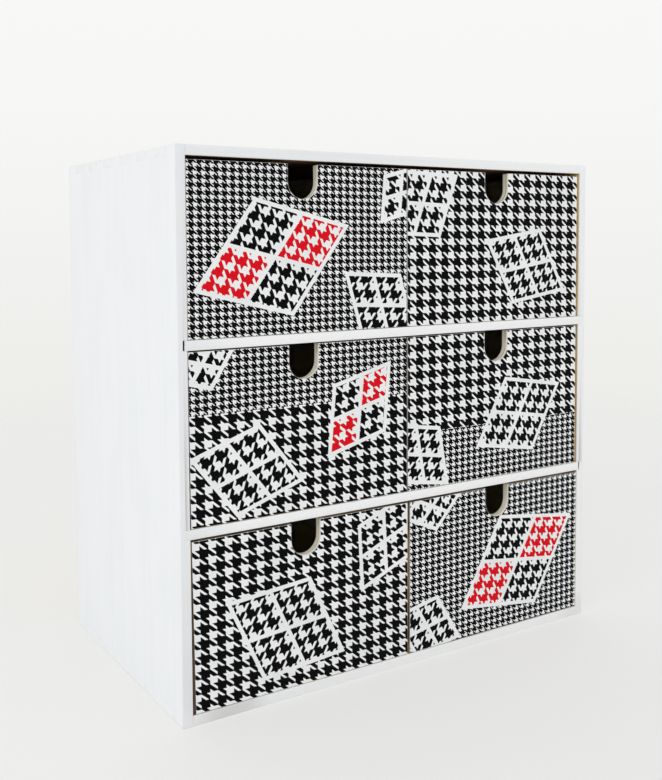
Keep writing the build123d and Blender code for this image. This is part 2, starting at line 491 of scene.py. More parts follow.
        height = sketch.plus_share(streaks, flecks, -self.fleck_pit)
        height = sketch.plus_share(height, sketch.product(crossed, on_edge), -self.end_pit)
        made = (colour, sketch.mix(streaks, *self.roughness), height, glue, on_edge, gap_shaded, pasted)
        return sketch.give(result, dict(zip(outputs, made)))

    def material(self, surface: bpy.types.NodeTree) -> bpy.types.Material:
        """Make the material of bare boards.

        Args:
            surface: the group of the wood's surface.

        Returns:
            The material.
        """
        sketch, material = new_material("birch_plywood")
        wood = sketch.use(surface)
        # Painted shade on the board edges that show in the gaps round the papers, paler in patches
        tones = sketch.patches(sketch.object_place(), self.gap_shade_tones)
        gap_shade = sketch.blend(tones, self.gap_shade, self.gap_shade_pale)
        colour = sketch.blend(wood["Gap shade"], wood["Colour"], gap_shade)
        colour = sketch.blend(wood["Paste"], colour, self.paste)
        normal = sketch.bump(wood["Height"], self.grain_depth)
        sketch.shade({"Base Color": colour, "Roughness": wood["Roughness"], "Normal": normal})
        return material


@dataclass(frozen=True)
class ShadeSpot:
    """A soft spot of painted shade on the case's front edges.

    Attributes:
        middle: its place, rightward from the case's middle and upward from its foot.
        fade: distances from its middle at which it starts and is full.
        share: how strong it is.
    """

    middle: Pair
    fade: Pair
    share: float


@dataclass(frozen=True)
class CasePlace:
    """Where a place lies in the case.

    Attributes:
        half: half the case's width, depth and height.
        from_middle: the place, from the case's middle.
        under_side: how far it is below the nearer side of the case.
        under_rim: how far it is below the nearest of the sides, the top and the underside.
        depth: how far it is below the nearest face of the case.
        on_edges: 1 on the front and back edges of the boards, else 0.
    """

    half: Vector
    from_middle: Socket
    under_side: Socket
    under_rim: Socket
    depth: Socket
    on_edges: Socket


@dataclass(frozen=True)
class WhitePaint:
    """Brushed white paint over birch plywood. It covers the outside of the case, fills its joints
    from without and thins away round the front edges, so that the inside stays bare."""

    light: Shade = Shade(246, 247, 248)
    shaded: Shade = Shade(222, 227, 230)
    roughness: Pair = (0.34, 0.59)
    stroke_depth: float = 0.06
    wood_relief: float = 0.7
    wood_sunk: float = -0.2
    board_shift: Triple = (211.0, 97.0, 61.0)

    # Strokes of the brush, how thin the coat is on the faces, and painted shade on the front edges: darker
    # round the rim and most of all on the left, lighter at the foot and on the shelves
    strokes: Layer = Layer((85.0, 0.9, 0.9), 3.0, share=0.09)
    wide_strokes: Layer = Layer((136.0, 5.4, 5.4), share=0.08)
    coats: Layer = Layer((70.0, 38.0, 38.0), 3.0, share=0.1)
    tooth: Layer = Layer((0.8, 0.8, 0.8), 3.0, share=0.25)
    face_thinness: float = 0.34
    shelf_shade_level: float = 0.02
    rim_shade_range: Pair = (0.52, 0.12)
    rim: Pair = (4.0, 44.0)
    foot: Pair = (12.0, 5.0)
    foot_share: float = 0.5
    edge_depth: float = 1.0
    thin: Shade = Shade(224, 216, 198)
    glue_share: float = 0.3

    # Painted shade in spots at both ends of the foot
    spot_shade_colour: Shade = Shade(206, 204, 204)
    shade_spots: tuple[ShadeSpot, ...] = (
        ShadeSpot((-125.0, 3.0), (28.0, 4.0), 0.65),
        ShadeSpot((-153.0, 10.0), (75.0, 15.0), 0.18),
        ShadeSpot((147.0, 3.0), (18.0, 4.0), 0.3),
    )

    # Rubbed corners
    corner: Pair = (1.0, 0.15)
    rubbed: Layer = Layer((14.0, 4.0, 4.0), 3.0, (0.57, 0.7))
    rubbed_least: float = 0.2
    rubbed_rim: Pair = (0.5, 3.0)
    rubbed_share: Pair = (0.15, 0.45)

    # Where the coat ends inside the case, and the wood that it leaves bare, with painted shade on its
    # undersides and in its joints
    lap: Pair = (0.1, 1.2)
    ragged: Layer = Layer((34.0, 8.0, 8.0), 3.0, (0.42, 0.75), 0.8)
    aged_wood: Shade = Shade(255, 238, 190)
    underside_shade: Shade = Shade(120, 98, 70)
    facing_down: float = -0.5
    joint_shade: Shade = Shade(76, 62, 48)
    joint_depth: float = 5.9

    def material(self, surface: bpy.types.NodeTree, outside: tuple[Vector, Vector]) -> bpy.types.Material:
        """Make the material of the painted boards.

        Args:
            surface: the group of the wood's surface, which shows where there is no paint.
            outside: lowest and highest corner of the case, in millimetres.

        Returns:
            The material.
        """
        sketch, material = new_material("white_paint")
        wood = sketch.use(surface)
        own = sketch.own_place(self.board_shift)
        here = self.case_place(sketch, *outside)
        ragged = sketch.patches(own, self.ragged)
        lapped = sketch.rise(sketch.plus_share(here.depth, ragged, -self.ragged.share), *self.lap)
        bare = sketch.most(lapped, self.rubbed_away(sketch, own, here))
        under = self.bare_wood(sketch, wood["Colour"], lapped, here)
        height = sketch.plus_share(
            sketch.cloud(own, self.strokes), sketch.cloud(own, self.tooth), self.tooth.share
        )
        relief = sketch.plus_share(self.wood_sunk, wood["Height"], self.wood_relief)
        roughness = sketch.mix(sketch.cloud(own, self.wide_strokes), *self.roughness)
        sketch.shade(
            {
                "Base Color": sketch.blend(bare, self.coat(sketch, own, here, wood), under),
                "Roughness": sketch.mix(bare, roughness, wood["Roughness"]),
                "Normal": sketch.bump(sketch.mix(bare, height, relief), self.stroke_depth),
            }
        )
        return material

    def case_place(self, sketch: Sketch, low: Vector, high: Vector) -> CasePlace:
        """Work out where a place lies in the case.

        Args:
            sketch: the sketch of the material's tree.
            low: lowest corner of the case, in millimetres.
            high: its highest corner.

        Returns:
            The place in the case.
        """
        half = (high - low) / 2
        from_middle = sketch.vector("SUBTRACT", sketch.object_place(), tuple((low + high) / 2))
        below = sketch.vector("SUBTRACT", tuple(half), sketch.vector("ABSOLUTE", from_middle))
        x, y, z = sketch.split(below)
        under_rim = sketch.least(x, z)
        on_edges = sketch.under(y, self.edge_depth)
        return CasePlace(half, from_middle, x, under_rim, sketch.least(y, under_rim), on_edges)

    def coat(self, sketch: Sketch, own: Socket, here: CasePlace, wood: Any) -> Socket:
        """Colour the coat. The front edges carry painted shade, darker round the rim and most of all on the
        left, lighter at the foot and on the shelves, and brush strokes run along each board.

        Args:
            sketch: the sketch of the material's tree.
            own: place on the board, apart from those on other boards.
            here: place in the case.
            wood: what the group of the wood's surface gives.

        Returns:
            The coat's colour.
        """
        # Painted shade on the front edges: darker round the rim and on the left, lighter at the foot and on
        # the shelves
        rightward, _, upward = sketch.split(here.from_middle)
        at_right = sketch.rise(rightward, -here.half.x, here.half.x)
        at_foot = sketch.rise(sketch.math("ADD", upward, here.half.z), *self.foot)
        foot_lightening = sketch.mix(at_foot, 1.0, self.foot_share)
        rim_darkening = sketch.product(sketch.mix(at_right, *self.rim_shade_range), foot_lightening)
        front_edge_shade = sketch.mix(sketch.rise(here.under_rim, *self.rim), rim_darkening, self.shelf_shade_level)
        tone = sketch.mix(sketch.product(wood["Edges"], here.on_edges), self.face_thinness, front_edge_shade)
        for layer in (self.wide_strokes, self.strokes, self.coats):
            tone = sketch.plus_share(tone, sketch.minus(sketch.patches(own, layer), 0.5), layer.share)
        coat = sketch.blend(tone, self.light, self.shaded)
        coat = sketch.blend(sketch.product(wood["Glue lines"], self.glue_share), coat, self.thin)
        # Painted shade darkens spots at both ends of the foot
        for spot in self.shade_spots:
            middle = (spot.middle[0], -here.half.y, spot.middle[1] - here.half.z)
            distance = sketch.vector("LENGTH", sketch.vector("SUBTRACT", here.from_middle, middle))
            shade_spots = sketch.product(sketch.rise(distance, *spot.fade), here.on_edges, spot.share)
            coat = sketch.blend(shade_spots, coat, self.spot_shade_colour)
        return coat

    def rubbed_away(self, sketch: Sketch, own: Socket, here: CasePlace) -> Socket:
        """Thin the coat along the corners of the board, most of all round the openings, where the
        drawers rub it.

        Args:
            sketch: the sketch of the material's tree.
            own: place on the board, apart from those on other boards.
            here: place in the case.

        Returns:
            How much of the coat is gone.
        """
        from_middle = sketch.vector("ABSOLUTE", sketch.mark(Mark.PLACE))
        gaps = sketch.vector("SUBTRACT", sketch.mark(Mark.HALF), from_middle)
        to_end, to_side, to_face = sketch.split(gaps)
        farther = sketch.most(to_end, to_side)
        to_corner = sketch.most(sketch.least(to_end, to_side), sketch.least(farther, to_face))
        rubbed = sketch.most(sketch.patches(own, self.rubbed), self.rubbed_least)
        share = sketch.mix(sketch.rise(here.under_rim, *self.rubbed_rim), *self.rubbed_share)
        return sketch.product(rubbed, sketch.rise(to_corner, *self.corner), share)

    def bare_wood(self, sketch: Sketch, colour: Socket, lapped: Socket, here: CasePlace) -> Socket:
        """Age the wood that the coat leaves bare, and darken it with painted shade: on the undersides, and
        most of all in the joints.

        Args:
            sketch: the sketch of the material's tree.
            colour: the wood's colour.
            lapped: how far the place is past the end of the coat.
            here: place in the case.

        Returns:
            The colour of the wood under the coat and past it.
        """
        upward = sketch.split(sketch.add("ShaderNodeNewGeometry").outputs["Normal"])[2]
        # Painted shade: the undersides are darker and the joints darkest, on top of the aged wood's tint
        ageing_and_shade = sketch.blend(sketch.under(upward, self.facing_down), self.aged_wood, self.underside_shade)
        ageing_and_shade = sketch.blend(sketch.under(here.under_side, self.joint_depth), ageing_and_shade, self.joint_shade)
        return sketch.blend(sketch.over(lapped, 0.0), colour, sketch.blend(1.0, colour, ageing_and_shade, "MULTIPLY"))


@dataclass(frozen=True)
class PinSteel:
    """Bright drawn wire, a little dulled where the hammer struck it."""

    bright: Shade = Shade(196, 197, 199)
    dull: Shade = Shade(140, 138, 136)
    spots: Layer = Layer((0.5, 0.5, 0.5), 3.0, (0.4, 0.65))
    drawn: Layer = Layer((0.12, 4.0, 0.12), 1.0)
    roughness: Pair = (0.22, 0.52)
    depth: float = 0.02

    def material(self) -> bpy.types.Material:
        """Make the material of the panel pins.

        Returns:
            The material.
        """
        sketch, material = new_material("pin_steel")
        place = sketch.object_place()
        spots = sketch.cloud(place, self.spots)
        height = sketch.math("ADD", spots, sketch.cloud(place, self.drawn))
        sketch.shade(
            {
                "Base Color": sketch.blend(sketch.rise(spots, *self.spots.edge), self.bright, self.dull),
                "Metallic": 1.0,
                "Roughness": sketch.mix(spots, *self.roughness),
                "Normal": sketch.bump(height, self.depth),
            }
        )
        return material


@dataclass(frozen=True)
class Weave:
    """The scale of a houndstooth.

    Attributes:
        repeat: width and height of one repeat.
        bleed: how far its ink has spread.
    """

    repeat: Pair
    bleed: float

    def inputs(self) -> dict[str, Value]:
        """Give what a group that prints it takes."""
        return {"Repeat": (*self.repeat, 1.0), "Bleed": self.bleed}


COARSE = Weave((10.08, 8.54), 0.22)
FINE = Weave((5.04, 4.27), 0.16)
SLANTED = Weave((9.6, 9.6), 0.18)


@dataclass(frozen=True)
class Check:
    """A stretch of houndstooth on a drawer's paper, from some height up.

    Attributes:
        weave: its scale.
        start: where a repeat starts, from the paper's lower left corner.
        turned: whether the sheet was pasted on half a turn round.
        from_height: how far above the paper's lower edge it begins.
    """

    weave: Weave
    start: Pair
    turned: bool = False
    from_height: float = 0.0

    def inputs(self) -> dict[str, Value]:
        """Give what the group that prints it takes."""
        shift = 0.5 if self.turned else 0.0
        return {"Start": (*self.start, 0.0), "Twill shift": shift} | self.weave.inputs()


@dataclass(frozen=True)
class HarlequinTile:
    """A rhombus laid over the check, quartered by white lines and filled with slanted houndstooth.

    Attributes:
        centre: its middle, from the paper's lower left corner.
        half: half its width and half its height.
        turn: how far it is turned to the left, in degrees.
        red: whether two of its quarters are red.
        line: width of its white lines.
        weave: the scale of its houndstooth.
    """

    centre: Pair
    half: Pair
    turn: float
    red: bool = False
    line: float = 2.4
    weave: Weave = SLANTED

    def inputs(self) -> dict[str, Value]:
        """Give what the group that prints it takes."""
        places = {"Centre": (*self.centre, 0.0), "Half": (*self.half, 0.0), "Turn": math.radians(self.turn)}
        return places | {"Line": self.line, "Red quarters": float(self.red)} | self.weave.inputs()


@dataclass(frozen=True)
class FrontPrint:
    """The paper of one drawer.

    Attributes:
        checks: the checks printed on it, from the bottom up.
        tiles: the tiles printed over them.
        askew: how far short of the board's lower left corner the paper is cut.
    """

    checks: tuple[Check, ...]
    tiles: tuple[HarlequinTile, ...]
    askew: float = 0.0


def make_houndstooth() -> bpy.types.NodeTree:
    """Make the group of the houndstooth check: two plain stripes, picked by a twill.

    Returns:
        A group that gives the ink, 0 or 1, at a place.
    """
    inputs = dict.fromkeys(("Place", "Start", "Repeat"), VECTOR)
    inputs |= dict.fromkeys(("Bleed", "Twill shift"), FLOAT)
    sketch, given, result = new_group("houndstooth", inputs, {"Ink": FLOAT})
    from_start = sketch.vector("SUBTRACT", given["Place"], given["Start"])
    across, up, _ = sketch.split(sketch.vector("DIVIDE", from_start, given["Repeat"]))
    density = sketch.vector("DIVIDE", (1.0, 1.0, 0.0), given["Repeat"])
    spread = sketch.vector("MULTIPLY", density, given["Bleed"])
    spread_across, spread_up, _ = sketch.split(spread)
    spread_twill = sketch.product(sketch.vector("LENGTH", spread), 2.0)
    twill = sketch.plus_share(given["Twill shift"], sketch.math("ADD", across, up), 2.0)

    def stripes(phase: Socket, bleed: Socket) -> Socket:
        """Give 1 in the first half of each turn of a phase, spread a little to both sides."""
        moved = sketch.math("FRACT", sketch.math("ADD", phase, bleed))
        return sketch.under(moved, sketch.plus_share(0.5, bleed, 2.0))

    warp = sketch.product(stripes(across, spread_across), stripes(twill, spread_twill))
    weft = sketch.product(stripes(up, spread_up), stripes(sketch.math("ADD", twill, 0.5), spread_twill))
    return sketch.give(result, {"Ink": sketch.most(warp, weft)})


def make_tile_group(houndstooth: bpy.types.NodeTree) -> bpy.types.NodeTree:
    """Make the group that prints one harlequin tile over what is there already.


    Returns:
        A group that takes and gives black and red ink.
    """
    numbers = ("Black", "Red", "Turn", "Line", "Bleed", "Red quarters")
    inputs = dict.fromkeys(numbers, FLOAT) | dict.fromkeys(("Place", "Centre", "Half", "Repeat"), VECTOR)
    sketch, given, result = new_group("harlequin_tile", inputs, {"Black": FLOAT, "Red": FLOAT})
    turning = {"Vector": sketch.vector("SUBTRACT", given["Place"], given["Centre"]), "Angle": given["Turn"]}
    straight = sketch.add("ShaderNodeVectorRotate", turning, rotation_type="Z_AXIS", invert=True).outputs[0]
    wide, high, _ = sketch.split(sketch.vector("DIVIDE", straight, given["Half"]))
    first, second = sketch.math("ADD", wide, high), sketch.minus(wide, high)

    # Lines keep their width whatever the tile's shape is
    slope = sketch.vector("LENGTH", sketch.vector("DIVIDE", (1.0, 1.0, 0.0), given["Half"]))
    line = sketch.product(given["Line"], slope)
    outer = sketch.most(sketch.size(first), sketch.size(second))
    inner = sketch.least(sketch.size(first), sketch.size(second))
    within_lines = sketch.under(sketch.math("ADD", outer, line), 1.0)
    filled = sketch.product(within_lines, sketch.over(inner, sketch.product(line, 0.5)))

    half_side = sketch.product(sketch.vector("LENGTH", given["Half"]), 0.5)
    slanted = sketch.join(sketch.product(first, half_side), sketch.product(second, half_side), 0.0)
    check = {"Place": slanted, "Repeat": given["Repeat"], "Bleed": given["Bleed"]}
    ink = sketch.product(sketch.use(houndstooth, check)[0], filled)
    reddened = sketch.product(sketch.over(sketch.product(first, second), 0.0), given["Red quarters"])
    inks = {"Black": sketch.product(ink, sketch.minus(1.0, reddened)), "Red": sketch.product(ink, reddened)}
    inside = sketch.under(outer, 1.0)
    return sketch.give(result, {name: sketch.mix(inside, given[name], made) for name, made in inks.items()})


@dataclass(frozen=True)
class PrintGroups:
    """The node groups that every printed paper shares."""

    houndstooth: bpy.types.NodeTree
    tile: bpy.types.NodeTree


@dataclass(frozen=True)
class PrintedPaper:
    """Satin printed paper, pasted on and rubbed white along its cut edges."""

    paper: Shade = Shade(242, 243, 242)
    paper_shaded: Shade = Shade(234, 236, 236)
    shading: Layer = Layer((34.0, 26.0, 30.0), 3.0)
    black: Shade = Shade(3, 3, 5)
    black_worn: Shade = Shade(11, 11, 13)
    red: Shade = Shade(222, 16, 32)
    red_deep: Shade = Shade(204, 10, 26)
    wear: Layer = Layer((1.6, 1.6, 1.6), 4.0, (0.45, 0.75))
    cut_edge: Layer = Layer((1.2, 1.2, 1.2), 3.0, share=0.1)
    hidden_width: float = 0.05
    cut_share: float = 0.4
    overlap: float = 0.01
    fibres: Layer = Layer((1.4, 0.3, 1.0), 3.0)
    brushed: Layer = Layer((40.0, 1.1, 1.0), share=0.8)
    roughness: Pair = (0.36, 0.66)
    specular: float = 0.05
    relief: float = 0.025

    def material(self, sheet: "PaperSheet", design: FrontPrint, groups: PrintGroups) -> bpy.types.Material:
        """Make the material of one drawer's paper.

        Args:
            sheet: the sheet that it is printed on.
            design: what is printed on it.
            groups: the node groups of the check and of the tile.

        Returns:
            The material.
        """
        sketch, material = new_material(f"printed_paper_{sheet.drawer}")
        low, _ = sheet.corners()
        x, y, z = sketch.split(sketch.vector("SUBTRACT", sketch.object_place(), tuple(low)))
        place = sketch.join(x, z, 0.0)
        black, red = self.print_checks(sketch, place, z, design, groups), 0.0
        for tile in design.tiles:
            printed = {"Black": black, "Red": red, "Place": place}
            black, red = sketch.use(groups.tile, printed | tile.inputs())

        # The cut edge is white, and so is a thin ragged line beside it
        ragged = sketch.product(sketch.cloud(place, self.cut_edge), self.cut_edge.share)
        rubbed = sketch.over(ragged, sketch.minus(self.to_edge(sketch, x, z, sheet), self.hidden_width))
        kept = sketch.minus(1.0, sketch.most(rubbed, sketch.over(y, sheet.thickness * self.cut_share)))

        colour = sketch.blend(sketch.patches(place, self.shading), self.paper, self.paper_shaded)
        worn = sketch.patches(place, self.wear)
        for ink, fresh, faded in ((black, self.black, self.black_worn), (red, self.red, self.red_deep)):
            colour = sketch.blend(sketch.product(ink, kept), colour, sketch.blend(worn, fresh, faded))
        brushed = sketch.cloud(place, self.brushed)
        height = sketch.plus_share(sketch.cloud(place, self.fibres), brushed, self.brushed.share)
        sketch.shade(
            {
                "Base Color": colour,
                "Roughness": sketch.mix(brushed, *self.roughness),
                "Specular IOR Level": self.specular,
                "Normal": sketch.bump(height, self.relief),
            }
        )
        return material

    def to_edge(self, sketch: Sketch, x: Socket, z: Socket, sheet: "PaperSheet") -> Socket:
        """Measure how far a place is from the nearest cut.

        Args:
            sketch: the sketch of the material's tree.
            x: distance from the sheet's left edge.
            z: distance from its lower edge.
            sheet: the sheet.

        Returns:
            The distance.
        """
        low, high = sheet.corners()
        size = high - low
        slot_x = sketch.minus(x, size.x / 2 + sheet.slot_shift)
        slot_z = sketch.least(sketch.minus(z, size.z - sheet.slot_depth + sheet.slot_radius), 0.0)
        from_slot = sketch.vector("LENGTH", sketch.join(slot_x, slot_z, 0.0))
        to_sides = (x, sketch.minus(size.x, x), z, sketch.minus(size.z, z))
        return sketch.least(sketch.minus(from_slot, sheet.slot_radius), *to_sides)

    def print_checks(
        self, sketch: Sketch, place: Socket, height: Socket, design: FrontPrint, groups: PrintGroups
    ) -> Value:
        """Args:
            sketch: the sketch of the material's tree.
            place: place on the paper.
            height: height on the paper.
            design: what is printed on it.
            groups: the node groups of the check and of the tile.

        Returns:
            The black ink.
        """
        black: Value = 0.0
        for check in design.checks:
            ink = sketch.use(groups.houndstooth, {"Place": place} | check.inputs())[0]
            above = sketch.over(height, check.from_height - self.overlap)
            black = sketch.mix(above, black, ink)
        return black


def node_corners(node: str) -> tuple[Vector, Vector]:
    """Give a node's lowest and highest corner in millimetres."""
    low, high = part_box(node)
    return low / MM, high / MM


def new_piece(name: str, mesh: bpy.types.Mesh, material: bpy.types.Material) -> bpy.types.Object:
    """Put a finished mesh into the scene.

    Args:
        name: the piece's name.
        mesh: its mesh, in the frame.
        material: its finish.

    Returns:
        The piece.
    """
    mesh.materials.clear()
    mesh.materials.append(material)
    piece = bpy.data.objects.new(name, mesh)
    bpy.context.scene.collection.objects.link(piece)
    return piece


def settle(piece: bpy.types.Object, body: str, node: str, slot: str) -> None:
    """Hand a finished piece over to the frame and report it.

    Args:
        piece: the piece.
        body: the body that it rides on.
        node: the node that it stands for.
        slot: the record's material slot.
    """
    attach(piece, body)
    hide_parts(node)
    log.info("%s rides on %s, %d faces, %s", piece.name, body, len(piece.data.polygons), slot)


def applied_mesh(piece: bpy.types.Object) -> bpy.types.Mesh:
    """Give a plain mesh of what a piece's modifiers make, and take the piece away.

    Args:
        piece: the piece, with its modifiers.

    Returns:
        The mesh.
    """
    graph = bpy.context.evaluated_depsgraph_get()
    mesh = bpy.data.meshes.new_from_object(piece.evaluated_get(graph), depsgraph=graph)
    bpy.data.objects.remove(piece)
    return mesh


def mesh_of(shape: bmesh.types.BMesh, name: str) -> bpy.types.Mesh:
    """Turn a shape into a mesh, and let go of the shape.

    Args:
        shape: the shape.
        name: the mesh's name.

    Returns:
        The mesh.
    """
    mesh = bpy.data.meshes.new(name)
    shape.to_mesh(mesh)
    shape.free()
    return mesh


def cut_across(shape: bmesh.types.BMesh, axis: Axis, place: float, merge: float) -> None:
    """Cut a shape's faces and corners where a plane across an axis crosses them.

    Args:
        shape: the shape.
        axis: the axis.
        place: where the plane is along it.
        merge: how near the plane a point counts as lying on it.
    """
    everything = [*shape.verts, *shape.edges, *shape.faces]
    normal = Vector([float(axis is other) for other in Axis])
    bmesh.ops.bisect_plane(
        shape, geom=everything, dist=merge * MM, plane_co=normal * place * MM, plane_no=normal
    )


@dataclass
class Board:
    """One plywood board, cut as its node is, with its corners sanded.

    Attributes:
        node: the node that it stands for.
        body: the body that it rides on.
        lie: how it lies.
        plies: how many layers it has.
        number: its number, which sets its grain apart from the others'.
        slot: the record's material slot.
        material: its finish.
        arris: how far a free corner is rounded.
        seam: how far a corner is rounded where another board meets it.
        touch: how near another board counts as meeting it.
        probe: how far in from a corner, and how far out from the face, nearness is measured.
        hole_edge: the edges of pin holes are shorter than this.
        strip: no strip narrower than this is cut off at a neighbour.
        flat: a corner is sharper than this, in degrees.
        soft: shading runs on over edges flatter than this, in degrees.
        weld: points nearer than this are one.
        level: faces that turn by less than this, in radians, are one.
        merge: a point this near a cut lies on it.
        steps: flat steps in a rounded corner.
    """

    node: str
    body: str
    lie: Lie
    plies: int
    number: int
    slot: str
    material: bpy.types.Material
    arris: float = 0.5
    seam: float = 0.06
    touch: float = 0.35
    probe: Pair = (0.4, 0.05)
    hole_edge: float = 0.7
    strip: float = 1.0
    flat: float = 20.0
    soft: float = 60.0
    weld: float = 0.001
    level: float = 0.01
    merge: float = 0.01
    steps: int = 3

    def build(self) -> bpy.types.Object:
        """Make the board and hand it over to the frame.

        Returns:
            The finished piece.
        """
        rough = new_piece(f"{self.node}_rough", self.clean_copy(), self.material)
        rounding = rough.modifiers.new("sanded_corners", "BEVEL")
        rounding.width = self.arris * MM
        rounding.limit_method = "WEIGHT"
        rounding.segments = self.steps
        rounding.use_clamp_overlap = False
        rounding.harden_normals = True
        finished = applied_mesh(rough)
        self.write_marks(finished)
        piece = new_piece(f"dressed_{self.node}", finished, self.material)
        settle(piece, self.body, self.node, self.slot)
        return piece

    def clean_copy(self) -> bpy.types.Mesh:
        """Copy the node's mesh as whole flat faces, with a weight on each corner to be rounded.

        Returns:
            The mesh.
        """
        shape = bmesh.new()
        shape.from_mesh(frame["nodes"][self.node].data)
        bmesh.ops.remove_doubles(shape, verts=shape.verts, dist=self.weld * MM)
        bmesh.ops.dissolve_limit(shape, angle_limit=self.level, verts=shape.verts, edges=shape.edges)
        self.part_at_neighbours(shape)
        neighbours = self.neighbours()
        weights = shape.edges.layers.float.new("bevel_weight_edge")
        for edge in shape.edges:
            edge[weights] = self.corner_weight(edge, neighbours)
            edge.smooth = edge[weights] > 0 or edge.calc_face_angle(0.0) < math.radians(self.soft)
        for face in shape.faces:
            face.smooth = True
        return mesh_of(shape, self.node)

    def part_at_neighbours(self, shape: bmesh.types.BMesh) -> None:
        """Cut the faces and corners where another board's side crosses them, so that each stretch
        of a corner can be rounded in its own way.

        Args:
            shape: the board.
        """
        low, high = node_corners(self.node)
        for name, other in frame["nodes"].items():
            if name == self.node or other["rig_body"] != self.body or name.endswith("_pins"):
                continue
            ends = node_corners(name)
            apart = [max(start - right, left - end) for start, end, left, right in zip(*ends, low, high)]
            if max(apart) > self.touch:
                continue
            for axis in self.lie.value[:2]:
                for place in (end[axis.value] for end in ends):
                    if low[axis.value] + self.strip < place < high[axis.value] - self.strip:
                        cut_across(shape, axis, place, self.merge)

    def neighbours(self) -> BVHTree:
        """Gather the surfaces of the other pieces of the same body.

        Returns:
            A tree to measure distances with.
        """
        points: list[Vector] = []
        faces: list[list[int]] = []
        for name, other in frame["nodes"].items():
            if name != self.node and other["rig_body"] == self.body:
                first = len(points)
                points += [vertex.co for vertex in other.data.vertices]
                faces += [[first + index for index in face.vertices] for face in other.data.polygons]
        return BVHTree.FromPolygons(points, faces)

    def corner_weight(self, edge: bmesh.types.BMEdge, neighbours: BVHTree) -> float:
        """Say how far a corner is rounded, as a share of a free corner's rounding.

        Args:
            edge: the corner.
            neighbours: the surfaces of the other pieces of the body.

        Returns:
            1 for a free corner, less where another board meets it, 0 for a flat edge or a pin hole.
        """
        if edge.calc_length() < self.hole_edge * MM or edge.calc_face_angle(0.0) < math.radians(self.flat):
            return 0.0
        middle = (edge.verts[0].co + edge.verts[1].co) / 2
        inside, outside = self.probe
        for loop in edge.link_loops:
            normal = loop.face.normal
            run = loop.link_loop_next.vert.co - loop.vert.co
            inward = normal.cross(run).normalized()
            sample = middle + inward * inside * MM + normal * outside * MM
            if neighbours.find_nearest(sample, self.touch * MM)[0] is not None:
                return self.seam / self.arris
        return 1.0

    def write_marks(self, mesh: bpy.types.Mesh) -> None:
        """Write on the mesh what the finish needs to know of the board.

        Args:
            mesh: the finished mesh.
        """
        low, high = node_corners(self.node)
        middle = (low + high) / 2
        half = self.lie.turn((high - low) / 2)
        places = [part for vertex in mesh.vertices for part in self.lie.turn(vertex.co / MM - middle)]
        count = len(mesh.vertices)
        for mark, values in {Mark.PLACE: places, Mark.HALF: list(half) * count}.items():
            mesh.attributes.new(mark.value, "FLOAT_VECTOR", "POINT").data.foreach_set("vector", values)
        for mark, number in {Mark.NUMBER: self.number, Mark.PLIES: self.plies}.items():
            values = [float(number)] * count
            mesh.attributes.new(mark.value, "FLOAT", "POINT").data.foreach_set("value", values)


